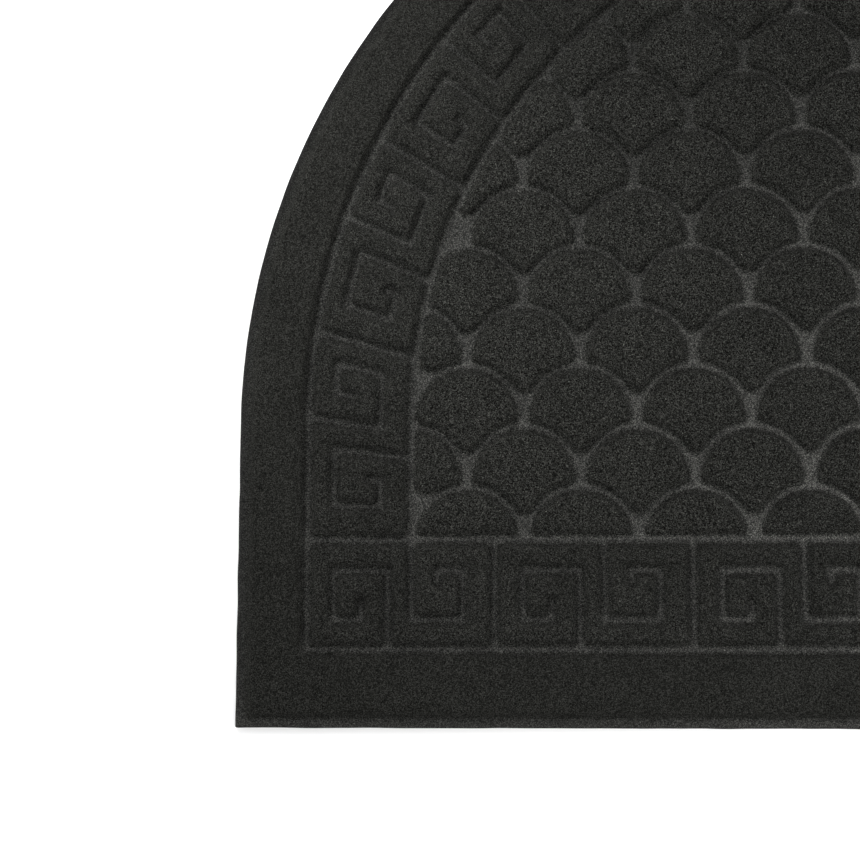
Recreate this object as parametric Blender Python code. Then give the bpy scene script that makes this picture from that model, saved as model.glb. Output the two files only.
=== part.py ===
"""A half-round doormat of dark needle-punched felt with a pressed relief.

The mat is one closed solid that lies flat on z = 0, with its straight foot towards -Y and its arch
towards +Y. The felt keeps its full height in the outer band, the key border and the scallops.
Between them it is pressed down to a lower level, and so is a narrow strip along the mat's edge.
Each raised area is a plan outline, counterclockwise, whose walls lean in by a small draft.
"""

import math

import bpy
from mathutils import Vector
from mathutils.geometry import delaunay_2d_cdt

# Outline of the mat: straight sides below a half circle, in metres
WIDTH = 0.700
SIDE_LENGTH = 0.1425
ARCH_SEGMENTS = 60

# Thickness
FELT_HEIGHT = 0.0060
PRESSED_HEIGHT = 0.0032
DRAFT = 0.0007

# Distances from the mat's edge to the pressed lines, at the sides and arch and at the foot
EDGE_STRIP = 0.0050
FRAME_INSET = 0.0330
FRAME_INSET_FOOT = 0.0361
FIELD_INSET = 0.0819
FIELD_INSET_FOOT = 0.0877

# Widths of the pressed lines, half way up their walls
FRAME_GROOVE = 0.0042
FIELD_GROOVE = 0.0046
KEY_GROOVE = 0.0039

# Key border: its panels follow the arch and the foot, and each holds two square spirals
ARCH_PANELS = 11
FOOT_PANEL = 0.0927
FOOT_END_PANEL = 0.0881
PANEL_STEP = 0.030
# Corners of each spiral's line, as shares of the panel's length and of the border's width
SPIRAL_FROM_OUTER_LINE = (
    # along, across
    (0.430, 0.00),
    (0.430, 0.70),
    (0.143, 0.70),
    (0.143, 0.25),
    (0.290, 0.25),
    (0.290, 0.45),
)
SPIRAL_FROM_INNER_LINE = (
    # along, across
    (0.556, 1.00),
    (0.556, 0.25),
    (0.832, 0.25),
    (0.832, 0.70),
    (0.690, 0.70),
    (0.690, 0.56),
)
# How far the foot's spirals lie towards the field, and the arch's outer ones back along the border
FOOT_SPIRAL_RISE = 0.0009
ARCH_SPIRAL_SHIFT = 0.0012

# Scallops: round crowns in staggered rows, whose lower sides follow the crowns below them
COLUMN_PITCH = 0.02686
ROW_PITCH = 0.02912
FIRST_ROW_FROM_FOOT = 0.0868
CROWN_RADIUS = 0.0237
CROWN_GROOVE = 0.0032
TIP_DEPTH = 0.0168
CROWN_SEGMENTS = 10
SIDE_SEGMENTS = 3
# Cut pieces at the border: the smallest one kept, and the width at which their sharp tips end
SMALLEST_PIECE = 80e-6
SHARPEST_CORNER = math.radians(78)
CUT_TIP_WIDTH = 0.0055
SHORTEST_EDGE = 0.0012

# Colour of the felt, linear
FELT_COLOUR = (0.021, 0.021, 0.020, 1.0)
FELT_ROUGHNESS = 0.95

# Worked out from the sizes above
RADIUS = WIDTH / 2
DEPTH = SIDE_LENGTH + RADIUS
FOOT_Y = -DEPTH / 2
SPRING_Y = FOOT_Y + SIDE_LENGTH

# Output kind of the triangulation: areas inside the loops, with holes left open
INSIDE_WITH_HOLES = 2
MERGE_DISTANCE = 1e-6


def remove_all_objects():
    for thing in list(bpy.data.objects):
        bpy.data.objects.remove(thing, do_unlink=True)


def arch_outline(inset, foot_inset, segments=ARCH_SEGMENTS):
    """The mat's outline moved in from its edge: two straight sides, a foot and a half circle."""
    radius = RADIUS - inset
    foot = FOOT_Y + foot_inset
    points = [(-radius, foot), (radius, foot)]
    for step in range(segments + 1):
        angle = math.pi * step / segments
        points.append((radius * math.cos(angle), SPRING_Y + radius * math.sin(angle)))
    return points


def area(outline):
    total = 0.0
    for (x0, y0), (x1, y1) in zip(outline, outline[1:] + outline[:1]):
        total += x0 * y1 - x1 * y0
    return total / 2


def clip_to_line(outline, start_of_line, end_of_line):
    """The part of an outline that lies to the left of a line."""
    ax, ay = start_of_line
    bx, by = end_of_line
    kept = []
    for start, end in zip(outline, outline[1:] + outline[:1]):
        start_side = (bx - ax) * (start[1] - ay) - (by - ay) * (start[0] - ax)
        end_side = (bx - ax) * (end[1] - ay) - (by - ay) * (end[0] - ax)
        if start_side >= 0:
            kept.append(start)
        if (start_side >= 0) != (end_side >= 0):
            share = start_side / (start_side - end_side)
            kept.append(tuple(s + share * (e - s) for s, e in zip(start, end)))
    return kept


def clip_to_convex(outline, region):
    """The part of an outline that lies inside a convex counterclockwise region."""
    for start, end in zip(region, region[1:] + region[:1]):
        outline = clip_to_line(outline, start, end)
    return outline


def without_short_edges(outline):
    kept = []
    for point in outline:
        if not kept or math.dist(point, kept[-1]) > SHORTEST_EDGE:
            kept.append(point)
    if math.dist(kept[0], kept[-1]) <= SHORTEST_EDGE:
        kept.pop()
    return kept


def blunt_tips(outline):
    """Cuts each sharp tip straight across, where it gets as narrow as felt can be pressed."""
    blunted = outline
    count = len(outline)
    for index in range(count):
        corner = Vector(outline[index])
        back = (Vector(outline[index - 1]) - corner).normalized()
        ahead = (Vector(outline[(index + 1) % count]) - corner).normalized()
        angle = back.angle(ahead)
        if angle > SHARPEST_CORNER:
            continue
        inward = (back + ahead).normalized()
        across = Vector((inward.y, -inward.x))
        middle = corner + inward * (CUT_TIP_WIDTH / 2 / math.tan(angle / 2))
        blunted = clip_to_line(blunted, tuple(middle), tuple(middle + across))
    return blunted


def moved_in(outline, distance):
    """The outline moved to the left of its own direction: inwards where it is counterclockwise."""
    moved = []
    count = len(outline)
    for index in range(count):
        corner = Vector(outline[index])
        before = (corner - Vector(outline[index - 1])).normalized()
        after = (Vector(outline[(index + 1) % count]) - corner).normalized()
        normal_before = Vector((-before.y, before.x))
        normal_after = Vector((-after.y, after.x))
        mitre = (normal_before + normal_after) / (1 + normal_before.dot(normal_after))
        moved.append(tuple(corner + mitre * distance))
    return moved


def scallop_outline(centre_x, centre_y):
    """One whole scallop: a round crown, two hollow lower sides and a blunt tip."""
    hollow_radius = CROWN_RADIUS + CROWN_GROOVE
    centres_apart = math.hypot(COLUMN_PITCH, ROW_PITCH)
    along = (CROWN_RADIUS ** 2 - hollow_radius ** 2 + centres_apart ** 2) / (2 * centres_apart)
    lean = math.acos(along / CROWN_RADIUS)
    corner_angle = lean - math.atan2(ROW_PITCH, COLUMN_PITCH)
    corner = Vector((math.cos(corner_angle), math.sin(corner_angle))) * CROWN_RADIUS

    crown = []
    for step in range(CROWN_SEGMENTS + 1):
        angle = corner_angle + (math.pi - 2 * corner_angle) * step / CROWN_SEGMENTS
        crown.append((CROWN_RADIUS * math.cos(angle), CROWN_RADIUS * math.sin(angle)))

    hollow_centre = Vector((COLUMN_PITCH, -ROW_PITCH))
    from_corner = math.atan2(corner.y - hollow_centre.y, corner.x - hollow_centre.x)
    from_tip = math.pi - math.asin((ROW_PITCH - TIP_DEPTH) / hollow_radius)
    right_side = []
    for step in range(SIDE_SEGMENTS):
        angle = from_tip + (from_corner - from_tip) * step / SIDE_SEGMENTS
        right_side.append((
            hollow_centre.x + hollow_radius * math.cos(angle),
            hollow_centre.y + hollow_radius * math.sin(angle),
        ))
    left_side = [(-x, y) for x, y in reversed(right_side)]
    return [(centre_x + x, centre_y + y) for x, y in right_side + crown + left_side]


def scallops():
    """Every scallop of the field, the outer ones cut off by the border's inner line."""
    region = arch_outline(FIELD_INSET + FIELD_GROOVE / 2, FIELD_INSET_FOOT + FIELD_GROOVE / 2)
    columns = math.ceil(RADIUS / COLUMN_PITCH)
    rows = math.ceil(DEPTH / ROW_PITCH)
    pieces = []
    for row in range(rows):
        for column in range(-columns, columns + 1):
            if (row + column) % 2 == 0:
                continue
            whole = scallop_outline(
                column * COLUMN_PITCH,
                FOOT_Y + FIRST_ROW_FROM_FOOT + row * ROW_PITCH,
            )
            piece = clip_to_convex(whole, region)
            if len(piece) < 3 or area(piece) < SMALLEST_PIECE:
                continue
            pieces.append(without_short_edges(blunt_tips(without_short_edges(piece))))
    return pieces


def moved(line, by_along, by_across):
    return [(along + by_along, across + by_across) for along, across in line]


def spiral_walls(line, half_along, half_across):
    """Both walls of a square spiral's groove, in on its left side and out on its right."""
    left_wall = []
    right_wall = []
    last = len(line) - 1
    for index, (along, across) in enumerate(line):
        shift_along = 0.0
        shift_across = 0.0
        for start, end in ((index - 1, index), (index, index + 1)):
            if start < 0 or end > last:
                continue
            step_along = line[end][0] - line[start][0]
            step_across = line[end][1] - line[start][1]
            if step_across:
                shift_along = -math.copysign(half_along, step_across)
            if step_along:
                shift_across = math.copysign(half_across, step_along)
        left_wall.append((along + shift_along, across + shift_across))
        right_wall.append((along - shift_along, across - shift_across))
    return left_wall + right_wall[::-1]


def foot_border(length, start):
    """Maps shares along and across a panel of the foot to plan positions."""
    outer_y = FOOT_Y + FRAME_INSET_FOOT
    inner_y = FOOT_Y + FIELD_INSET_FOOT

    def place(along, across):
        return (start + along * length, outer_y + across * (inner_y - outer_y))

    return place


def arch_border(first_share, last_share):
    """Maps shares along and across a panel of the arch to plan positions."""
    side = SPRING_Y - (FOOT_Y + FIELD_INSET_FOOT)

    def point_on_line(radius, share):
        reach = share * (2 * side + math.pi * radius)
        if reach < side:
            return Vector((radius, SPRING_Y - side + reach))
        if reach > side + math.pi * radius:
            return Vector((-radius, SPRING_Y - (reach - side - math.pi * radius)))
        angle = (reach - side) / radius
        return Vector((radius * math.cos(angle), SPRING_Y + radius * math.sin(angle)))

    def place(along, across):
        share = first_share + along * (last_share - first_share)
        outer = point_on_line(RADIUS - FRAME_INSET, share)
        inner = point_on_line(RADIUS - FIELD_INSET, share)
        return tuple(outer.lerp(inner, across))

    return place


def key_panel(place, length, width, outer_shift, rise):
    """The felt of one key panel: a rectangle that two spiral grooves run into."""
    half_along = KEY_GROOVE / 2 / length
    half_across = KEY_GROOVE / 2 / width
    outer_edge = FRAME_GROOVE / 2 / width
    inner_edge = 1 - FIELD_GROOVE / 2 / width

    outer_line = moved(SPIRAL_FROM_OUTER_LINE, -outer_shift / length, rise / width)
    inner_line = moved(SPIRAL_FROM_INNER_LINE, 0.0, rise / width)
    from_outer = spiral_walls(outer_line, half_along, half_across)
    from_inner = spiral_walls(inner_line, half_along, half_across)
    for walls, edge in ((from_outer, outer_edge), (from_inner, inner_edge)):
        walls[0] = (walls[0][0], edge)
        walls[-1] = (walls[-1][0], edge)

    corners = [(half_along, outer_edge)]
    corners += from_outer
    corners += [(1 - half_along, outer_edge), (1 - half_along, inner_edge)]
    corners += from_inner
    corners += [(half_along, inner_edge)]

    outline = []
    for start, end in zip(corners, corners[1:] + corners[:1]):
        steps = max(1, round(abs(end[0] - start[0]) * length / PANEL_STEP))
        for step in range(steps):
            share = step / steps
            outline.append(place(
                start[0] + share * (end[0] - start[0]),
                start[1] + share * (end[1] - start[1]),
            ))
    return outline


def key_border():
    """The panels of the foot, which runs the frame's whole width, and those of the arch above it."""
    panels = []
    frame_half_width = RADIUS - FRAME_INSET
    middle_panel = 2 * (frame_half_width - FOOT_END_PANEL - 2 * FOOT_PANEL)
    side_lengths = [FOOT_END_PANEL, FOOT_PANEL, FOOT_PANEL]
    start = -frame_half_width
    foot_width = FIELD_INSET_FOOT - FRAME_INSET_FOOT
    for length in side_lengths + [middle_panel] + side_lengths[::-1]:
        place = foot_border(length, start)
        panels.append(key_panel(place, length, foot_width, 0.0, FOOT_SPIRAL_RISE))
        start += length

    middle_radius = RADIUS - (FRAME_INSET + FIELD_INSET) / 2
    side = SIDE_LENGTH - FIELD_INSET_FOOT
    arch_length = (2 * side + math.pi * middle_radius) / ARCH_PANELS
    arch_width = FIELD_INSET - FRAME_INSET
    for index in range(ARCH_PANELS):
        place = arch_border(index / ARCH_PANELS, (index + 1) / ARCH_PANELS)
        panels.append(key_panel(place, arch_length, arch_width, ARCH_SPIRAL_SHIFT, 0.0))
    return panels


def outer_band():
    """The plain band's outer outline, and its inner one clockwise, because the felt is outside it."""
    frame_edge = FRAME_GROOVE / 2
    outside = arch_outline(EDGE_STRIP, EDGE_STRIP)
    inside = arch_outline(FRAME_INSET - frame_edge, FRAME_INSET_FOOT - frame_edge)
    return [outside, inside[::-1]]


def filled(loops, first_index):
    """Triangles of the area inside an odd number of the loops, as indices of their points."""
    points = [Vector(point) for loop in loops for point in loop]
    areas = []
    start = 0
    for loop in loops:
        areas.append(list(range(start, start + len(loop))))
        start += len(loop)
    result = delaunay_2d_cdt(points, [], areas, INSIDE_WITH_HOLES, MERGE_DISTANCE)
    triangles = result[2]
    sources = result[3]
    if len(result[0]) != len(points):
        raise ValueError("two outlines touch or cross")
    return [[first_index + sources[vertex][0] for vertex in triangle] for triangle in triangles]


def relief_mesh(name, outline, raised):
    """A closed mesh: a flat underside, the pressed level, and raised areas with leaning walls."""
    bottoms = [moved_in(loop, -DRAFT / 2) for loop in raised]
    tops = [moved_in(loop, DRAFT / 2) for loop in raised]
    vertices = [(x, y, 0.0) for x, y in outline]
    pressed_start = len(vertices)
    vertices += [(x, y, PRESSED_HEIGHT) for loop in [outline] + bottoms for x, y in loop]
    top_start = len(vertices)
    vertices += [(x, y, FELT_HEIGHT) for loop in tops for x, y in loop]

    faces = [triangle[::-1] for triangle in filled([outline], 0)]
    faces += filled([outline] + bottoms, pressed_start)
    faces += filled(tops, top_start)

    loops = [(0, pressed_start, len(outline))]
    bottom = pressed_start + len(outline)
    top = top_start
    for loop in raised:
        loops.append((bottom, top, len(loop)))
        bottom += len(loop)
        top += len(loop)
    for lower, upper, count in loops:
        for index in range(count):
            following = (index + 1) % count
            faces.append([lower + index, lower + following, upper + following, upper + index])

    mesh = bpy.data.meshes.new(name)
    mesh.from_pydata(vertices, [], faces)
    mesh.validate()
    return mesh


def felt_material():
    material = bpy.data.materials.new("felt")
    material.use_nodes = True
    shader = material.node_tree.nodes["Principled BSDF"]
    shader.inputs["Base Color"].default_value = FELT_COLOUR
    shader.inputs["Roughness"].default_value = FELT_ROUGHNESS
    shader.inputs["Metallic"].default_value = 0.0
    return material


def build_mat():
    raised = outer_band() + key_border() + scallops()
    mesh = relief_mesh("felt_mat", arch_outline(0.0, 0.0), raised)
    mesh.materials.append(felt_material())
    mat = bpy.data.objects.new("felt_mat", mesh)
    bpy.context.collection.objects.link(mat)
    return mat


remove_all_objects()
build_mat()
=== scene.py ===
"""The looks of a half-round doormat of dark needle-punched felt with a pressed relief.

One fine mesh stands for the mat. It repeats the plan of the solid: an outer band, a key border and
a field of scallops, all raised above a pressed level. Here their corners are worn round, their
shoulders roll over softly, and the felt has its nap, grain and gloss.
"""

import math

import bpy
import numpy as np
from mathutils import Euler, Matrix, Vector, kdtree, noise
from mathutils.geometry import delaunay_2d_cdt


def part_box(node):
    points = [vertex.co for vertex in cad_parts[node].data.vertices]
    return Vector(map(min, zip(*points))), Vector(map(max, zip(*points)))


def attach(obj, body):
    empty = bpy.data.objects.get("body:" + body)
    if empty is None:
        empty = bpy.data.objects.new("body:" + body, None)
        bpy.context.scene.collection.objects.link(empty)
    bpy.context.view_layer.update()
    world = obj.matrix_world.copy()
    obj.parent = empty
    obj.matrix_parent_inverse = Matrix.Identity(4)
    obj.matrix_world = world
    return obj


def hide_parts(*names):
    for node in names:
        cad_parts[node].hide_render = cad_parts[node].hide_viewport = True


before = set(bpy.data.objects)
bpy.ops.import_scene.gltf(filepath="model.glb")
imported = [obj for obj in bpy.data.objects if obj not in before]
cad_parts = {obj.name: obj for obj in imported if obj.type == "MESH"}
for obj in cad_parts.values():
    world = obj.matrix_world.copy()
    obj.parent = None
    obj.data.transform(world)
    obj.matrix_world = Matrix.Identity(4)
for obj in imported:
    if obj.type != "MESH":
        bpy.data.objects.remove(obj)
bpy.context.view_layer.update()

# Outline of the mat, in metres: its width from the frame, and the straight sides below the half circle
MAT_LOW, MAT_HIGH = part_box("felt_mat")
WIDTH = MAT_HIGH.x - MAT_LOW.x
SIDE_LENGTH = 0.1425
RADIUS = WIDTH / 2
DEPTH = SIDE_LENGTH + RADIUS
FOOT_Y = -DEPTH / 2
SPRING_Y = FOOT_Y + SIDE_LENGTH
FELT_HEIGHT = MAT_HIGH.z
PRESSED_HEIGHT = 0.0032

# Width of the pressed strip along the mat's edge
EDGE_STRIP = 0.0050
# Distances from the mat's edge to the middle of the pressed lines, at the sides and arch and at the foot
FRAME_INSET = 0.0330
FRAME_INSET_FOOT = 0.0361
FIELD_INSET = 0.0819
FIELD_INSET_FOOT = 0.0877

# Widths of the pressed lines, half way up their walls
FRAME_GROOVE = 0.0042
FIELD_GROOVE = 0.0046
KEY_GROOVE = 0.0039

# Key border: its panels follow the arch and the foot, and each holds two square spirals
ARCH_PANELS = 11
FOOT_PANEL = 0.0927
FOOT_END_PANEL = 0.0881
# Corners of each spiral's line, as shares of the panel's length and of the border's width
SPIRAL_FROM_OUTER_LINE = (
    # along, across
    (0.430, 0.00),
    (0.430, 0.70),
    (0.143, 0.70),
    (0.143, 0.25),
    (0.290, 0.25),
    (0.290, 0.45),
)
SPIRAL_FROM_INNER_LINE = (
    # along, across
    (0.556, 1.00),
    (0.556, 0.25),
    (0.832, 0.25),
    (0.832, 0.70),
    (0.690, 0.70),
    (0.690, 0.56),
)
# How far the foot's spirals lie towards the field, and the arch's outer ones back along the border
FOOT_SPIRAL_RISE = 0.0009
ARCH_SPIRAL_SHIFT = 0.0012

# Scallops: round crowns in staggered rows, whose lower sides follow the crowns below them
COLUMN_PITCH = 0.02686
ROW_PITCH = 0.02912
FIRST_ROW_FROM_FOOT = 0.0868
CROWN_RADIUS = 0.0238
CROWN_GROOVE = 0.0038
TIP_DEPTH = 0.0160
# Of the scallops that the border cuts off, those with less felt than this, in square metres, are left out
SMALLEST_PIECE = 80e-6
# A tip sharper than this angle is cut straight across, where it gets this narrow
SHARPEST_CORNER = math.radians(78)
CUT_TIP_WIDTH = 0.0055

# How the outlines are drawn: curves in drawn steps, then fine points, then corners worn round
FINE_STEP = 0.0004
DRAWN_STEP = 4 * FINE_STEP
CORNER_WEAR = 0.0014
OUTLINE_WANDER = 0.00024
WANDER_LENGTH = 0.014
FEWEST_POINTS = 8
# Columns of points on an outline: their distance follows the curve's radius, between two limits
STEP_PER_RADIUS = 0.38
SHORTEST_STEP = 0.0008
LONGEST_STEP = 0.0030
# Fine points over which a turn is averaged, and the least turn that counts
TURN_WINDOW = 5
LEAST_TURN = 1e-6

# Walls, as a soft S that starts in the pressed line and reaches the full height inside its edge
FOOT_REACH = 0.0008
SHOULDER_REACH = 0.0027
WALL_SHARES = (0.0, 0.2, 0.4, 0.6, 0.8, 1.0)
# How far a ring of points lies out in the pressed line
OPEN_REACH = 0.0024
# Where there is less room, a ring takes this share of it, which a shrinking circle finds in a few rounds
SHARE_OF_ROOM = 0.85
CIRCLE_ROUNDS = 8
CIRCLE_SLACK = 0.00001
# Depths in from a raised area's edge where the felt is pressed through, out in the line, and has its full nap
PRESSED_DEPTH = -0.0026
NAP_DEPTH = 0.0003

# Unevenness of the felt: a slow swell of its tops and of the pressed level
TOP_SWELL = 0.00016
TOP_SWELL_LENGTH = 0.022
TOP_SEED = 5.0
FLOOR_SWELL = 0.00005
FLOOR_SWELL_LENGTH = 0.012
FLOOR_SEED = 9.0
# A top rises a little more towards its middle, over this distance from its shoulder
TOP_RISE = 0.0002
TOP_RISE_REACH = 0.006

# Extra points on the tops and on the wide parts of the pressed level, and how far they stay from a ring
POINT_GRID = 0.0055
SPARE = 0.0013

# Cut edge of the mat, from the pressed strip down to the underside
EDGE_RINGS = (
    # distance in from the edge, height as a share of the pressed level
    (0.0009, 1.00),
    (0.0003, 0.93),
    (0.0000, 0.74),
    (0.0000, 0.20),
    (0.0004, 0.00),
)
EDGE_WEAR = 0.0006
EDGE_SEED = 500.0

# Mesh: the kind of filling that leaves holes open, its merge distance, and edges sharper than this stay sharp
INSIDE_WITH_HOLES = 2
MERGE_DISTANCE = 1e-7
SHARP_ANGLE = math.radians(60)

# Loft: how loosely the fibres stand on each kind of raised area, as a share of the loosest
BAND_LOFT = 0.70
KEY_LOFT = 0.85
SCALLOP_LOFT = 1.0

# Felt: its fibres, tufts and fine grain, each with its size, and what is kept of a noise's range
FIBRE_SIZE = 0.0005
FIBRE_CROOK = 0.6
FIBRE_RANGE = (0.2, 1.1)
GRAIN_SIZE = 0.00029
GRAIN_ROUGHNESS = 0.6
GRAIN_RANGE = (0.25, 0.75)
TUFT_SIZE = 0.00034
# How much of the fibres gives way to the grain, and of both to the tufts
GRAIN_SHARE = 0.4
TUFT_SHARE = 0.45
# Slow unevenness of the colour
MOTTLE_SIZE = 0.030
MOTTLE_ROUGHNESS = 0.5
MOTTLE_RANGE = (0.3, 0.7)
MOTTLE = 0.08
# Brightest over darkest fibre, in the nap and in the pressed lines
NAP_CONTRAST = 5500.0
PRESSED_CONTRAST = 300.0
NAP_COLOUR = (0.0333, 0.0334, 0.0302, 1.0)
# The pressed colour is paler partly because pressed felt is paler and partly as painted sheen for the lines'
# gloss
PRESSED_COLOUR = (0.0739, 0.0739, 0.0686, 1.0)
# How bright the nap and the pressed felt are by the outer band, as shares of those in the field
NAP_BY_BAND = 0.745
PRESSED_BY_BAND = 0.545
# Gloss, and the height of the tangle of fibres
GLOSS = 0.05
NAP_ROUGHNESS = 1.0
PRESSED_ROUGHNESS = 0.60
NAP_RELIEF = 0.0003
PRESSED_RELIEF = 0.0001

# Tone: painted shade darkens the felt half way up a wall, and the felt's brightness changes slowly from place
# to place
DEEP_WALL_PAINTED_SHADE = 0.11
KEY_WALL_PAINTED_SHADE = 0.04
NAP_TONES = (
    # name, along the foot, up from the mat's middle, reach, change
    ("paler left of the middle", -0.21, -0.04, 0.14, 0.13),
    ("lower left corner", -0.34, -0.23, 0.08, -0.10),
    ("middle of the foot", -0.08, -0.20, 0.10, -0.06),
    ("darker at the upper left", -0.10, 0.12, 0.12, -0.07),
)
# In the pressed lines the changes are painted light: painted highlight in the middle, standing in for their
# gloss, and painted shade at the left and upper left, where the lines lie in shadow
PRESSED_PAINTED_LIGHT = (
    # name, along the foot, up from the mat's middle, reach, change
    ("painted highlight in the middle", -0.01, -0.11, 0.14, 0.50),
    ("painted shade at the upper left", -0.15, 0.10, 0.085, -0.52),
    ("painted shade at the left", -0.19, -0.02, 0.06, -0.14),
)
# Painted shade on the pressed strip along the mat's edge: none at the foot, where the strip is palest, and
# most at the arch
STRIP_PAINTED_SHADE = (
    # up from the mat's middle, change
    (-0.243, 0.00),
    (-0.215, -0.30),
    (-0.110, -0.30),
    (-0.010, -0.50),
    (0.040, -0.60),
)
# How much wider the pale, pressed part of the lines is drawn for each whole change of their painted light
PRESS_SPREAD = 0.0015

# Studio: a pale floor just under the mat, and softboxes that face one point of it
FLOOR_COLOUR = (0.90, 0.90, 0.90, 1.0)
FLOOR_ROUGHNESS = 0.9
FLOOR_GLOSS = 0.1
FLOOR_SIZE = 8.0
FLOOR_Z = -0.0002
AIM = (-0.09, -0.18, 0.0)
AMBIENT_COLOUR = (1.0, 1.0, 1.0, 1.0)
AMBIENT_STRENGTH = 0.02
SOFTBOXES = (
    # name, place, size, power in watts
    ("back_softbox", (-0.09, 0.72, 0.20), 0.5, 5.6),
    ("right_softbox", (0.81, -0.18, 0.20), 0.5, 11.9),
    ("left_softbox", (-0.99, -0.18, 0.20), 0.5, 6.1),
    ("front_left_softbox", (-0.73, -0.82, 0.20), 0.5, 5.2),
    ("low_back_left_softbox", (-0.48, 0.21, 0.15), 0.25, 0.29),
    ("near_left_softbox", (-0.41, 0.18, 0.285), 0.25, 1.88),
    ("near_front_softbox", (-0.10, -0.40, 0.35), 0.25, 0.75),
    ("near_right_softbox", (0.25, -0.35, 0.30), 0.25, 1.31),
)

# Camera: the photograph's viewing point above the pressed level, its angles in degrees, and its focal length
# in pixels of the photograph
PHOTO_SIZE = 860
FOCAL_PIXELS = 2000
SENSOR_WIDTH = 36.0
NEAREST_SEEN = 0.01
CAMERA_PLACE = (-0.2167, -0.2594, 0.9364 + PRESSED_HEIGHT)
CAMERA_ANGLES = (9.288, 2.588, 0.153)


def arch_outline(inset, foot_inset):
    """The mat's outline moved in from its edge: two straight sides, a foot and a half circle."""
    radius = RADIUS - inset
    foot = FOOT_Y + foot_inset
    steps = round(math.pi * radius / DRAWN_STEP)
    points = [(-radius, foot), (radius, foot)]
    for step in range(steps + 1):
        angle = math.pi * step / steps
        points.append((radius * math.cos(angle), SPRING_Y + radius * math.sin(angle)))
    return points


def area(outline):
    """Area of a counterclockwise outline."""
    total = 0.0
    for (x0, y0), (x1, y1) in zip(outline, outline[1:] + outline[:1]):
        total += x0 * y1 - x1 * y0
    return total / 2


def clip_to_line(outline, start_of_line, end_of_line):
    """The part of an outline that lies to the left of a line."""
    ax, ay = start_of_line
    bx, by = end_of_line
    kept = []
    for start, end in zip(outline, outline[1:] + outline[:1]):
        start_side = (bx - ax) * (start[1] - ay) - (by - ay) * (start[0] - ax)
        end_side = (bx - ax) * (end[1] - ay) - (by - ay) * (end[0] - ax)
        if start_side >= 0:
            kept.append(start)
        if (start_side >= 0) != (end_side >= 0):
            share = start_side / (start_side - end_side)
            kept.append(tuple(s + share * (e - s) for s, e in zip(start, end)))
    return kept


def clip_to_convex(outline, region):
    """The part of an outline that lies inside a convex counterclockwise region."""
    for start, end in zip(region, region[1:] + region[:1]):
        outline = clip_to_line(outline, start, end)
    return outline


def blunt_tips(outline):
    """Cuts each sharp tip straight across, where it gets as narrow as felt can be pressed."""
    blunted = outline
    count = len(outline)
    for index in range(count):
        corner = Vector(outline[index])
        back = (Vector(outline[index - 1]) - corner).normalized()
        ahead = (Vector(outline[(index + 1) % count]) - corner).normalized()
        angle = back.angle(ahead)
        if angle > SHARPEST_CORNER:
            continue
        inward = (back + ahead).normalized()
        across = Vector((inward.y, -inward.x))
        middle = corner + inward * (CUT_TIP_WIDTH / 2 / math.tan(angle / 2))
        blunted = clip_to_line(blunted, tuple(middle), tuple(middle + across))
    return blunted


def without_short_edges(outline):
    """The outline without each point that lies within a fine step of the one before it."""
    kept = []
    for point in outline:
        if not kept or math.dist(point, kept[-1]) > FINE_STEP:
            kept.append(point)
    if math.dist(kept[0], kept[-1]) <= FINE_STEP:
        kept.pop()
    return kept


def arc(centre, radius, start, end):
    """Points along an arc, both ends among them."""
    steps = max(1, round(abs(end - start) * radius / DRAWN_STEP))
    points = []
    for step in range(steps + 1):
        angle = start + (end - start) * step / steps
        points.append((centre[0] + radius * math.cos(angle), centre[1] + radius * math.sin(angle)))
    return points


def scallop_outline(centre_x, centre_y):
    """One whole scallop: a round crown, two hollow lower sides and a blunt tip."""
    hollow_radius = CROWN_RADIUS + CROWN_GROOVE
    centres_apart = math.hypot(COLUMN_PITCH, ROW_PITCH)
    along = (CROWN_RADIUS ** 2 - hollow_radius ** 2 + centres_apart ** 2) / (2 * centres_apart)
    lean = math.acos(along / CROWN_RADIUS)
    corner_angle = lean - math.atan2(ROW_PITCH, COLUMN_PITCH)
    corner_x = CROWN_RADIUS * math.cos(corner_angle)
    corner_y = CROWN_RADIUS * math.sin(corner_angle)
    from_corner = math.atan2(corner_y + ROW_PITCH, corner_x - COLUMN_PITCH)
    from_tip = math.pi - math.asin((ROW_PITCH - TIP_DEPTH) / hollow_radius)

    crown = arc((0.0, 0.0), CROWN_RADIUS, corner_angle, math.pi - corner_angle)
    right_side = arc((COLUMN_PITCH, -ROW_PITCH), hollow_radius, from_tip, from_corner)[:-1]
    left_side = [(-x, y) for x, y in reversed(right_side)]
    return [(centre_x + x, centre_y + y) for x, y in right_side + crown + left_side]


def scallops():
    """Every scallop of the field, the outer ones cut off by the border's inner line."""
    region = arch_outline(FIELD_INSET + FIELD_GROOVE / 2, FIELD_INSET_FOOT + FIELD_GROOVE / 2)
    columns = math.ceil(RADIUS / COLUMN_PITCH)
    rows = math.ceil(DEPTH / ROW_PITCH)
    pieces = []
    for row in range(rows):
        for column in range(-columns, columns + 1):
            if (row + column) % 2 == 0:
                continue
            whole = scallop_outline(
                column * COLUMN_PITCH,
                FOOT_Y + FIRST_ROW_FROM_FOOT + row * ROW_PITCH,
            )
            piece = clip_to_convex(whole, region)
            if len(piece) < 3 or area(piece) < SMALLEST_PIECE:
                continue
            pieces.append(without_short_edges(blunt_tips(without_short_edges(piece))))
    return pieces


def moved(line, by_along, by_across):
    """A spiral's line, moved by shares along and across its panel."""
    return [(along + by_along, across + by_across) for along, across in line]


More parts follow.
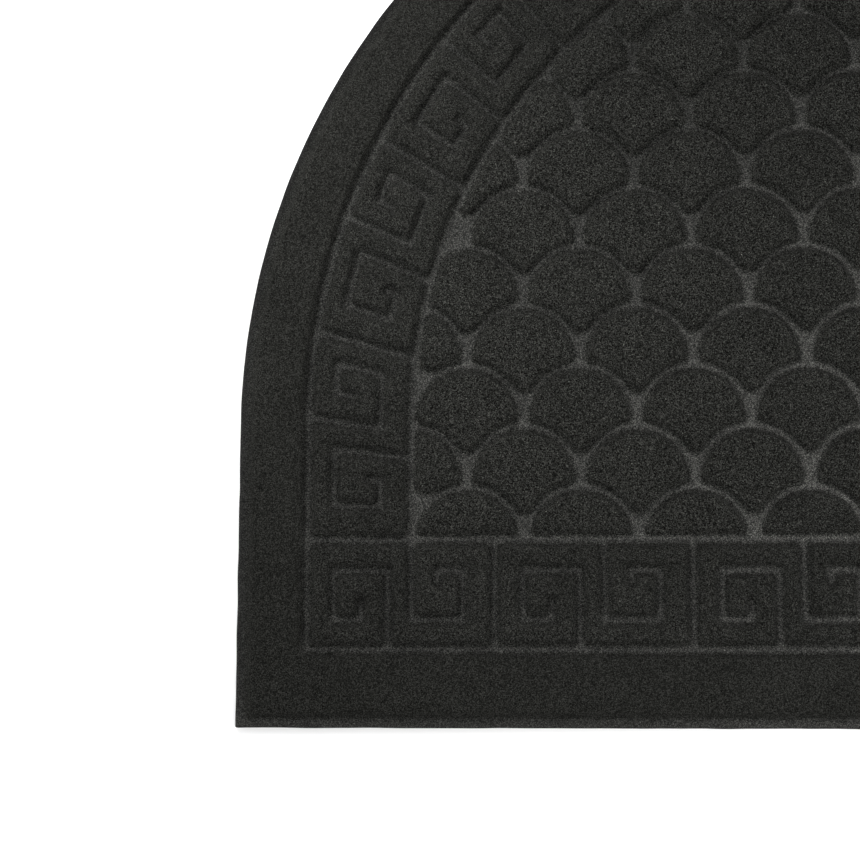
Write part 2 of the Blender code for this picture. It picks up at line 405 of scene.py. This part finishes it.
def spiral_walls(line, half_along, half_across):
    """Both walls of a square spiral's groove, in on its left side and out on its right."""
    left_wall = []
    right_wall = []
    last = len(line) - 1
    for index, (along, across) in enumerate(line):
        shift_along = 0.0
        shift_across = 0.0
        for start, end in ((index - 1, index), (index, index + 1)):
            if start < 0 or end > last:
                continue
            step_along = line[end][0] - line[start][0]
            step_across = line[end][1] - line[start][1]
            if step_across:
                shift_along = -math.copysign(half_along, step_across)
            if step_along:
                shift_across = math.copysign(half_across, step_along)
        left_wall.append((along + shift_along, across + shift_across))
        right_wall.append((along - shift_along, across - shift_across))
    return left_wall + right_wall[::-1]


def foot_border(length, start):
    """Maps shares along and across a panel of the foot to plan positions."""
    outer_y = FOOT_Y + FRAME_INSET_FOOT
    inner_y = FOOT_Y + FIELD_INSET_FOOT

    def place(along, across):
        return (start + along * length, outer_y + across * (inner_y - outer_y))

    return place


def arch_border(first_share, last_share):
    """Maps shares along and across a panel of the arch to plan positions."""
    side = SPRING_Y - (FOOT_Y + FIELD_INSET_FOOT)

    def point_on_line(radius, share):
        reach = share * (2 * side + math.pi * radius)
        if reach < side:
            return Vector((radius, SPRING_Y - side + reach))
        if reach > side + math.pi * radius:
            return Vector((-radius, SPRING_Y - (reach - side - math.pi * radius)))
        angle = (reach - side) / radius
        return Vector((radius * math.cos(angle), SPRING_Y + radius * math.sin(angle)))

    def place(along, across):
        share = first_share + along * (last_share - first_share)
        outer = point_on_line(RADIUS - FRAME_INSET, share)
        inner = point_on_line(RADIUS - FIELD_INSET, share)
        return tuple(outer.lerp(inner, across))

    return place


def key_panel(place, length, width, outer_shift, rise):
    """The felt of one key panel: a rectangle that two spiral grooves run into."""
    half_along = KEY_GROOVE / 2 / length
    half_across = KEY_GROOVE / 2 / width
    outer_edge = FRAME_GROOVE / 2 / width
    inner_edge = 1 - FIELD_GROOVE / 2 / width

    outer_line = moved(SPIRAL_FROM_OUTER_LINE, -outer_shift / length, rise / width)
    inner_line = moved(SPIRAL_FROM_INNER_LINE, 0.0, rise / width)
    from_outer = spiral_walls(outer_line, half_along, half_across)
    from_inner = spiral_walls(inner_line, half_along, half_across)
    for walls, edge in ((from_outer, outer_edge), (from_inner, inner_edge)):
        walls[0] = (walls[0][0], edge)
        walls[-1] = (walls[-1][0], edge)

    corners = [(half_along, outer_edge)]
    corners += from_outer
    corners += [(1 - half_along, outer_edge), (1 - half_along, inner_edge)]
    corners += from_inner
    corners += [(half_along, inner_edge)]

    outline = []
    for start, end in zip(corners, corners[1:] + corners[:1]):
        steps = max(1, round(abs(end[0] - start[0]) * length / DRAWN_STEP))
        for step in range(steps):
            share = step / steps
            outline.append(place(
                start[0] + share * (end[0] - start[0]),
                start[1] + share * (end[1] - start[1]),
            ))
    return outline


def key_border():
    """The panels of the foot, which runs the frame's whole width, and those of the arch above it."""
    panels = []
    frame_half_width = RADIUS - FRAME_INSET
    middle_panel = 2 * (frame_half_width - FOOT_END_PANEL - 2 * FOOT_PANEL)
    side_lengths = [FOOT_END_PANEL, FOOT_PANEL, FOOT_PANEL]
    start = -frame_half_width
    foot_width = FIELD_INSET_FOOT - FRAME_INSET_FOOT
    for length in side_lengths + [middle_panel] + side_lengths[::-1]:
        place = foot_border(length, start)
        panels.append(key_panel(place, length, foot_width, 0.0, FOOT_SPIRAL_RISE))
        start += length

    middle_radius = RADIUS - (FRAME_INSET + FIELD_INSET) / 2
    side = SIDE_LENGTH - FIELD_INSET_FOOT
    arch_length = (2 * side + math.pi * middle_radius) / ARCH_PANELS
    arch_width = FIELD_INSET - FRAME_INSET
    for index in range(ARCH_PANELS):
        place = arch_border(index / ARCH_PANELS, (index + 1) / ARCH_PANELS)
        panels.append(key_panel(place, arch_length, arch_width, ARCH_SPIRAL_SHIFT, 0.0))
    return panels


def outer_band():
    """The plain band's outer outline, and its inner one clockwise, because the felt is outside it."""
    frame_edge = FRAME_GROOVE / 2
    outside = arch_outline(EDGE_STRIP, EDGE_STRIP)
    inside = arch_outline(FRAME_INSET - frame_edge, FRAME_INSET_FOOT - frame_edge)
    return [outside, inside[::-1]]


def evenly_spaced(outline, step):
    """Points at equal distances along a closed outline."""
    corners = np.array(outline)
    closed = np.vstack([corners, corners[:1]])
    along = np.concatenate([[0.0], np.cumsum(np.linalg.norm(np.diff(closed, axis=0), axis=1))])
    count = max(FEWEST_POINTS, round(along[-1] / step))
    places = np.arange(count) * along[-1] / count
    return np.column_stack([np.interp(places, along, closed[:, axis]) for axis in (0, 1)])


def worn(points, wear):
    """A closed outline with its corners worn round, by a Gaussian blur along its length."""
    length = np.linalg.norm(np.roll(points, -1, axis=0) - points, axis=1).sum()
    waves = np.fft.fftfreq(len(points), d=length / len(points))
    keep = np.exp(-2 * (math.pi * waves * wear) ** 2)
    return np.column_stack([
        np.fft.ifft(np.fft.fft(points[:, axis]) * keep).real for axis in (0, 1)
    ])


def inward_normals(points):
    """Unit vectors to the left of a closed outline, which is its inside where it runs counterclockwise."""
    tangents = np.roll(points, -1, axis=0) - np.roll(points, 1, axis=0)
    tangents /= np.linalg.norm(tangents, axis=1)[:, None]
    return np.column_stack([-tangents[:, 1], tangents[:, 0]])


def wandering(points, seed):
    """The outline with a slow sideways wander, because a pressed edge in felt is never quite true."""
    normals = inward_normals(points)
    shifts = [
        OUTLINE_WANDER * noise.noise(Vector((x / WANDER_LENGTH, y / WANDER_LENGTH, seed)))
        for x, y in points
    ]
    return points + normals * np.array(shifts)[:, None]


def column_indices(points):
    """The fine points that carry a column: fewer along straight runs, more around corners."""
    ahead = np.roll(points, -1, axis=0) - points
    behind = points - np.roll(points, 1, axis=0)
    cross = behind[:, 0] * ahead[:, 1] - behind[:, 1] * ahead[:, 0]
    dot = (behind * ahead).sum(axis=1)
    turn = np.abs(np.arctan2(cross, dot))
    step = np.linalg.norm(ahead, axis=1)
    window = np.ones(TURN_WINDOW) / TURN_WINDOW
    overlap = TURN_WINDOW // 2
    turn = np.convolve(np.concatenate([turn[-overlap:], turn, turn[:overlap]]), window, mode="valid")
    radius = step / np.maximum(turn, LEAST_TURN)
    spacing = np.clip(radius * STEP_PER_RADIUS, SHORTEST_STEP, LONGEST_STEP)
    density = np.concatenate([[0.0], np.cumsum(step / spacing)])
    count = max(FEWEST_POINTS, math.ceil(density[-1]))
    wanted = np.arange(count) * density[-1] / count
    return np.unique(np.searchsorted(density, wanted).clip(0, len(points) - 1))


class Surface:
    """Collects the vertices and faces of the mat, with each vertex's loft, share of nap and tone, the tone
    holding painted shade and painted highlight.
    """

    def __init__(self):
        self.vertices = []
        self.lofts = []
        self.naps = []
        self.tones_and_painted_light = []
        self.faces = []

    def add_points(self, points, lofts, naps, painted_shade=0.0):
        """Adds points, darker by a share of painted shade. Returns their indices."""
        first = len(self.vertices)
        self.vertices += points
        self.lofts += lofts
        self.naps += naps
        self.tones_and_painted_light += [(1 - painted_shade) * tone_and_painted_light_at(x, y, nap) for (x, y, _), nap in zip(points, naps)]
        return list(range(first, first + len(points)))

    def add_ring(self, points, heights, loft, naps, painted_shade=0.0):
        """Adds plan points at their heights. Returns their indices."""
        places = [(x, y, z) for (x, y), z in zip(points, heights)]
        return self.add_points(places, [loft] * len(places), naps, painted_shade)

    def join(self, lower, upper):
        """Joins two rings of as many points with a band of faces."""
        count = len(lower)
        for index in range(count):
            following = (index + 1) % count
            self.faces.append((lower[index], lower[following], upper[following], upper[index]))

    def fill(self, rings, extra, facing_up=True):
        """Fills the area inside an odd number of the rings, with extra points in it."""
        indices = [vertex for ring in rings for vertex in ring] + extra
        points = [Vector(self.vertices[vertex][:2]) for vertex in indices]
        areas = []
        start = 0
        for ring in rings:
            areas.append(list(range(start, start + len(ring))))
            start += len(ring)
        filling = delaunay_2d_cdt(points, [], areas, INSIDE_WITH_HOLES, MERGE_DISTANCE)
        vertices, _, triangles, sources, _, _ = filling
        if len(vertices) != len(points):
            raise ValueError("two outlines of the felt touch or cross")
        for triangle in triangles:
            corners = tuple(indices[sources[vertex][0]] for vertex in triangle)
            self.faces.append(corners if facing_up else corners[::-1])


def top_swell(x, y):
    place = Vector((x / TOP_SWELL_LENGTH, y / TOP_SWELL_LENGTH, TOP_SEED))
    return TOP_SWELL * noise.noise(place)


def floor_swell(x, y):
    place = Vector((x / FLOOR_SWELL_LENGTH, y / FLOOR_SWELL_LENGTH, FLOOR_SEED))
    return FLOOR_SWELL * noise.noise(place)


def change_at(x, y, tones_and_painted_light):
    """Sum of the slow changes at a place: tone in the nap, painted highlight and painted shade in the pressed
    lines.
    """
    change = 0.0
    for _, middle_x, middle_y, reach, peak in tones_and_painted_light:
        change += peak * math.exp(-math.dist((x, y), (middle_x, middle_y)) ** 2 / reach ** 2)
    return change


def inset_at(x, y):
    """How far a place lies in from the mat's sides or its arch."""
    if y > SPRING_Y:
        return RADIUS - math.hypot(x, y - SPRING_Y)
    return WIDTH / 2 - abs(x)


def tone_and_painted_light_at(x, y, nap):
    """How bright the felt is at a place, as a share of its colour, with painted highlight and painted shade
    on the pressed lines and painted shade on the edge strip.
    """
    pressed_light_change = change_at(x, y, PRESSED_PAINTED_LIGHT)
    # The pressed strip at the edge gets its painted shade here.
    if inset_at(x, y) < EDGE_STRIP + NAP_DEPTH:
        heights, changes = zip(*STRIP_PAINTED_SHADE)
        pressed_light_change += float(np.interp(y, heights, changes))
    return 1 + nap * change_at(x, y, NAP_TONES) + (1 - nap) * pressed_light_change


def wall_height(depth):
    """Height of the felt at a distance in from the edge of the pressed line."""
    share = min(1.0, (depth + FOOT_REACH) / (SHOULDER_REACH + FOOT_REACH))
    return PRESSED_HEIGHT + (FELT_HEIGHT - PRESSED_HEIGHT) * (1 - math.cos(math.pi * share)) / 2


def nap_share(x, y, depth):
    """How much of the nap is left at a distance in from the edge of the pressed line."""
    # The pale pressed part spreads under painted highlight and shrinks under painted shade.
    from_pressed = depth - PRESSED_DEPTH - PRESS_SPREAD * change_at(x, y, PRESSED_PAINTED_LIGHT)
    share = min(1.0, max(0.0, from_pressed / (NAP_DEPTH - PRESSED_DEPTH)))
    return share * share * (3 - 2 * share)


class Line:
    """A worn, slightly wandering outline: its fine points, inward normals and chosen columns."""

    def __init__(self, outline, wear, top_loft, groove_loft, painted_wall_shade, seed):
        self.points = wandering(worn(evenly_spaced(outline, FINE_STEP), wear), seed)
        self.normals = inward_normals(self.points)
        self.columns = column_indices(self.points)
        self.top_loft = top_loft
        self.groove_loft = groove_loft
        self.painted_wall_shade = painted_wall_shade

    def ring_at(self, depths):
        """The columns' plan points, moved in by one depth or by a depth each."""
        depths = np.broadcast_to(depths, len(self.columns))
        return self.points[self.columns] + self.normals[self.columns] * depths[:, None]


def tree_of(lines):
    """A search tree of all fine points of the lines."""
    tree = kdtree.KDTree(sum(len(line.points) for line in lines))
    index = 0
    for line in lines:
        for x, y in line.points:
            tree.insert((x, y, 0.0), index)
            index += 1
    tree.balance()
    return tree


def free_reach(line, side, tree, wanted):
    """How far each column may reach to one side, up to the wanted reach, before it meets another wall."""
    limit = wanted / SHARE_OF_ROOM
    reaches = []
    for column in line.columns:
        start = Vector((*line.points[column], 0.0))
        direction = Vector((*line.normals[column], 0.0)) * side
        radius = limit
        for _ in range(CIRCLE_ROUNDS):
            nearest, _, distance = tree.find(start + direction * radius)
            if distance > radius - CIRCLE_SLACK:
                break
            offset = nearest - start
            radius = offset.length_squared / (2 * offset.dot(direction))
        reaches.append(radius * SHARE_OF_ROOM)
    return np.array(reaches)


def raised_area(surface, line, tree):
    """Wall and shoulder of one raised area. Returns its lowest and its highest ring."""
    room = free_reach(line, -1, tree, OPEN_REACH)
    foot = np.minimum(room, FOOT_REACH)
    shoulder = free_reach(line, 1, tree, SHOULDER_REACH)
    floor = line.ring_at(-room)
    floor_heights = [PRESSED_HEIGHT + floor_swell(x, y) for x, y in floor]
    floor_naps = [nap_share(x, y, -reach) for (x, y), reach in zip(floor, room)]
    rings = [surface.add_ring(floor, floor_heights, line.groove_loft, floor_naps)]
    for share in WALL_SHARES:
        depths = share * (shoulder + foot) - foot
        ring = line.ring_at(depths)
        heights = [
            wall_height(depth) + (1 - share) * floor_swell(x, y) + share * top_swell(x, y)
            for (x, y), depth in zip(ring, depths)
        ]
        naps = [nap_share(x, y, depth) for (x, y), depth in zip(ring, depths)]
        loft = line.groove_loft + share * (line.top_loft - line.groove_loft)
        # Painted shade, strongest half way up the wall.
        painted_shade = line.painted_wall_shade * math.sin(math.pi * share) ** 2
        rings.append(surface.add_ring(ring, heights, loft, naps, painted_shade))
    for lower, upper in zip(rings, rings[1:]):
        surface.join(lower, upper)
    return rings[0], rings[-1]


def mat_edge(surface, line):
    """The mat's cut edge, from the pressed strip down to the underside. Returns its first and last ring."""
    rings = []
    for inset, share in EDGE_RINGS:
        ring = line.ring_at(inset)
        count = len(ring)
        heights = [PRESSED_HEIGHT * share] * count
        rings.append(surface.add_ring(ring, heights, line.groove_loft, [0.0] * count))
    for upper, lower in zip(rings, rings[1:]):
        surface.join(lower, upper)
    return rings[0], rings[-1]


def extra_points(surface, lines, tree, edge):
    """Points between the rings, on the raised tops and on the wide parts of the pressed level."""
    edge_tree = tree_of([edge])
    normals = np.vstack([line.normals for line in lines])
    counts = [len(line.points) for line in lines]
    line_top_lofts = np.repeat([line.top_loft for line in lines], counts)
    line_groove_lofts = np.repeat([line.groove_loft for line in lines], counts)
    tops = []
    top_lofts = []
    floors = []
    floor_lofts = []
    edge_reach = EDGE_RINGS[0][0] + SPARE
    columns = math.ceil(WIDTH / POINT_GRID)
    row_step = POINT_GRID * math.sqrt(3) / 2
    rows = math.ceil(DEPTH / row_step)
    for row in range(rows):
        for column in range(columns):
            x = (column + (row % 2) / 2 - columns / 2) * POINT_GRID
            y = FOOT_Y + (row + 0.5) * row_step
            if inset_at(x, y) < 0:
                continue
            place = Vector((x, y, 0.0))
            nearest, index, distance = tree.find(place)
            is_raised = (x - nearest.x) * normals[index][0] + (y - nearest.y) * normals[index][1] > 0
            if is_raised and distance > SHOULDER_REACH + SPARE:
                rise = TOP_RISE * (1 - math.exp((SHOULDER_REACH - distance) / TOP_RISE_REACH))
                tops.append((x, y, FELT_HEIGHT + rise + top_swell(x, y)))
                top_lofts.append(line_top_lofts[index])
                continue
            from_edge = edge_tree.find(place)[2]
            if not is_raised and distance > OPEN_REACH + SPARE and from_edge > edge_reach:
                floors.append((x, y, PRESSED_HEIGHT + floor_swell(x, y)))
                floor_lofts.append(line_groove_lofts[index])
    return (
        surface.add_points(tops, top_lofts, [1.0] * len(tops)),
        surface.add_points(floors, floor_lofts, [0.0] * len(floors)),
    )


def relief_lines():
    """The outlines of all raised areas, with how the felt stands on them and beside them."""
    lines = []
    outside, inside = outer_band()
    for outlines, top_loft, groove_loft, painted_wall_shade in (
        ([outside], BAND_LOFT, BAND_LOFT, DEEP_WALL_PAINTED_SHADE),
        ([inside], BAND_LOFT, KEY_LOFT, DEEP_WALL_PAINTED_SHADE),
        (key_border(), KEY_LOFT, KEY_LOFT, KEY_WALL_PAINTED_SHADE),
        (scallops(), SCALLOP_LOFT, SCALLOP_LOFT, DEEP_WALL_PAINTED_SHADE),
    ):
        for outline in outlines:
            seed = float(len(lines))
            lines.append(Line(outline, CORNER_WEAR, top_loft, groove_loft, painted_wall_shade, seed))
    return lines


def felt_surface():
    """The whole mat as one closed surface: raised areas, pressed level, cut edge and underside."""
    lines = relief_lines()
    edge = Line(arch_outline(0.0, 0.0), EDGE_WEAR, BAND_LOFT, BAND_LOFT, 0.0, EDGE_SEED)
    tree = tree_of(lines)
    surface = Surface()
    lowest_rings = []
    highest_rings = []
    for line in lines:
        lowest, highest = raised_area(surface, line, tree)
        lowest_rings.append(lowest)
        highest_rings.append(highest)
    strip_ring, underside_ring = mat_edge(surface, edge)
    tops, floors = extra_points(surface, lines, tree, edge)
    surface.fill(highest_rings, tops)
    surface.fill([strip_ring] + lowest_rings, floors)
    surface.fill([underside_ring], [], facing_up=False)
    return surface


def build_mat():
    surface = felt_surface()
    mesh = bpy.data.meshes.new("pressed_felt")
    mesh.from_pydata(surface.vertices, [], surface.faces)
    # The tone attribute carries painted shade and painted highlight with the felt's tone.
    for name, values in (("loft", surface.lofts), ("nap", surface.naps), ("tone_and_painted_light", surface.tones_and_painted_light)):
        mesh.attributes.new(name, "FLOAT", "POINT").data.foreach_set("value", values)
    mesh.shade_smooth()
    mesh.set_sharp_from_angle(angle=SHARP_ANGLE)
    mat = bpy.data.objects.new("pressed_felt", mesh)
    bpy.context.collection.objects.link(mat)
    return mat


class Nodes:
    """Short ways to add and link shader nodes."""

    def __init__(self, material):
        material.use_nodes = True
        self.tree = material.node_tree
        self.shader = self.tree.nodes["Principled BSDF"]

    def put(self, socket, value):
        """Links an output to a socket, or sets the socket to a plain value."""
        if isinstance(value, bpy.types.NodeSocket):
            self.tree.links.new(value, socket)
        else:
            socket.default_value = value

    def place(self):
        """Where a point lies on the object, in metres."""
        return self.tree.nodes.new("ShaderNodeTexCoord").outputs["Object"]

    def grain(self, size, roughness):
        """Even noise of one size, as a share."""
        node = self.tree.nodes.new("ShaderNodeTexNoise")
        self.put(node.inputs["Vector"], self.place())
        node.inputs["Scale"].default_value = 1 / size
        node.inputs["Detail"].default_value = 2.0
        node.inputs["Roughness"].default_value = roughness
        return node.outputs["Fac"]

    def spread(self, value, low, high, to_low=0.0, to_high=1.0):
        """Spreads a range of values over another, and holds them in it."""
        node = self.tree.nodes.new("ShaderNodeMapRange")
        self.put(node.inputs["Value"], value)
        node.inputs["From Min"].default_value = low
        node.inputs["From Max"].default_value = high
        node.inputs["To Min"].default_value = to_low
        node.inputs["To Max"].default_value = to_high
        return node.outputs["Result"]

    def math(self, operation, first, second):
        node = self.tree.nodes.new("ShaderNodeMath")
        node.operation = operation
        self.put(node.inputs[0], first)
        self.put(node.inputs[1], second)
        return node.outputs["Value"]

    def blend(self, share, first, second):
        """A mix of two numbers. The Mix node's sockets go by index, because several share a name."""
        node = self.tree.nodes.new("ShaderNodeMix")
        node.data_type = "FLOAT"
        self.put(node.inputs[0], share)
        self.put(node.inputs[2], first)
        self.put(node.inputs[3], second)
        return node.outputs[0]

    def attribute(self, name):
        """A value that each vertex of the mesh holds."""
        node = self.tree.nodes.new("ShaderNodeAttribute")
        node.attribute_name = name
        return node.outputs["Fac"]

    def ridges(self, size):
        """Crooked bright threads, as a share."""
        node = self.tree.nodes.new("ShaderNodeTexNoise")
        node.noise_type = "RIDGED_MULTIFRACTAL"
        node.normalize = True
        self.put(node.inputs["Vector"], self.place())
        node.inputs["Scale"].default_value = 1 / size
        node.inputs["Detail"].default_value = 1.0
        node.inputs["Distortion"].default_value = FIBRE_CROOK
        return node.outputs["Fac"]

    def cells(self, size):
        """A random share for each small cell."""
        node = self.tree.nodes.new("ShaderNodeTexVoronoi")
        self.put(node.inputs["Vector"], self.place())
        node.inputs["Scale"].default_value = 1 / size
        split = self.tree.nodes.new("ShaderNodeSeparateColor")
        self.put(split.inputs["Color"], node.outputs["Color"])
        return split.outputs["Red"]

    def scaled(self, colour, factor):
        """A colour made brighter or darker."""
        node = self.tree.nodes.new("ShaderNodeVectorMath")
        node.operation = "SCALE"
        self.put(node.inputs[0], colour)
        self.put(node.inputs["Scale"], factor)
        return node.outputs["Vector"]

    def tint(self, share, first, second):
        """A mix of two colours, its sockets by index too."""
        node = self.tree.nodes.new("ShaderNodeMix")
        node.data_type = "RGBA"
        self.put(node.inputs[0], share)
        self.put(node.inputs[6], first)
        self.put(node.inputs[7], second)
        return node.outputs[2]

    def bump(self, height):
        """A normal from a height in metres."""
        node = self.tree.nodes.new("ShaderNodeBump")
        self.put(node.inputs["Height"], height)
        node.inputs["Strength"].default_value = 1.0
        node.inputs["Distance"].default_value = 1.0
        return node.outputs["Normal"]


def felt_material():
    """Tangled dark fibres with pits between them, flatter, paler and smoother in the pressed lines, whose
    paler colour also holds painted sheen.
    """
    material = bpy.data.materials.new("felt")
    nodes = Nodes(material)
    raised = nodes.attribute("nap")
    loft = nodes.attribute("loft")

    fibres = nodes.spread(nodes.ridges(FIBRE_SIZE), *FIBRE_RANGE)
    grain = nodes.spread(nodes.grain(GRAIN_SIZE, GRAIN_ROUGHNESS), *GRAIN_RANGE)
    tangle = nodes.blend(TUFT_SHARE, nodes.blend(GRAIN_SHARE, fibres, grain), nodes.cells(TUFT_SIZE))
    unevenness = nodes.math("SUBTRACT", tangle, 0.5)

    nap = nodes.math("POWER", NAP_CONTRAST, nodes.math("MULTIPLY", unevenness, loft))
    nap = nodes.math("MULTIPLY", nap, nodes.spread(loft, BAND_LOFT, SCALLOP_LOFT, NAP_BY_BAND, 1.0))
    pressed = nodes.math("POWER", PRESSED_CONTRAST, unevenness)
    pressed_by_loft = nodes.spread(loft, BAND_LOFT, SCALLOP_LOFT, PRESSED_BY_BAND, 1.0)
    pressed = nodes.math("MULTIPLY", pressed, pressed_by_loft)
    # The tone attribute brings in painted shade on the walls and painted highlight and shade on the pressed
    # lines.
    brightness = nodes.math("MULTIPLY", nodes.blend(raised, pressed, nap), nodes.attribute("tone_and_painted_light"))
    mottle = nodes.grain(MOTTLE_SIZE, MOTTLE_ROUGHNESS)
    mottle = nodes.spread(mottle, *MOTTLE_RANGE, 1 - MOTTLE, 1 + MOTTLE)
    brightness = nodes.math("MULTIPLY", brightness, mottle)
    colour = nodes.tint(raised, PRESSED_COLOUR, NAP_COLOUR)
    nodes.put(nodes.shader.inputs["Base Color"], nodes.scaled(colour, brightness))

    nodes.put(nodes.shader.inputs["Roughness"], nodes.blend(raised, PRESSED_ROUGHNESS, NAP_ROUGHNESS))
    nodes.shader.inputs["Specular IOR Level"].default_value = GLOSS
    relief = nodes.math("MULTIPLY", tangle, nodes.blend(raised, PRESSED_RELIEF, NAP_RELIEF))
    nodes.put(nodes.shader.inputs["Normal"], nodes.bump(relief))
    return material


def floor_material():
    material = bpy.data.materials.new("studio_floor")
    nodes = Nodes(material)
    nodes.shader.inputs["Base Color"].default_value = FLOOR_COLOUR
    nodes.shader.inputs["Roughness"].default_value = FLOOR_ROUGHNESS
    nodes.shader.inputs["Specular IOR Level"].default_value = FLOOR_GLOSS
    return material


def build_floor():
    half = FLOOR_SIZE / 2
    mesh = bpy.data.meshes.new("studio_floor")
    corners = [(-half, -half, FLOOR_Z), (half, -half, FLOOR_Z), (half, half, FLOOR_Z), (-half, half, FLOOR_Z)]
    mesh.from_pydata(corners, [], [(0, 1, 2, 3)])
    mesh.materials.append(floor_material())
    floor = bpy.data.objects.new("studio_floor", mesh)
    bpy.context.collection.objects.link(floor)


def add_softbox(name, place, size, power):
    """A square light that faces the aimed point."""
    light = bpy.data.lights.new(name, "AREA")
    light.shape = "SQUARE"
    light.size = size
    light.energy = power
    lamp = bpy.data.objects.new(name, light)
    lamp.location = place
    lamp.rotation_euler = (Vector(place) - Vector(AIM)).to_track_quat("Z", "Y").to_euler()
    lamp.visible_camera = False
    bpy.context.collection.objects.link(lamp)


def light_the_studio():
    for name, place, size, power in SOFTBOXES:
        add_softbox(name, place, size, power)
    world = bpy.data.worlds.new("studio")
    world.use_nodes = True
    background = world.node_tree.nodes["Background"]
    background.inputs["Color"].default_value = AMBIENT_COLOUR
    background.inputs["Strength"].default_value = AMBIENT_STRENGTH
    bpy.context.scene.world = world
    bpy.context.scene.view_settings.view_transform = "Standard"


def add_camera():
    data = bpy.data.cameras.new("camera")
    data.sensor_width = SENSOR_WIDTH
    data.lens = SENSOR_WIDTH * FOCAL_PIXELS / PHOTO_SIZE
    data.clip_start = NEAREST_SEEN
    camera = bpy.data.objects.new("camera", data)
    camera.location = CAMERA_PLACE
    camera.rotation_euler = Euler([math.radians(angle) for angle in CAMERA_ANGLES], "XYZ")
    bpy.context.collection.objects.link(camera)
    bpy.context.scene.camera = camera


mat = build_mat()
mat.data.materials.append(felt_material())
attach(mat, "root")
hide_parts("felt_mat")

build_floor()
light_the_studio()
add_camera()
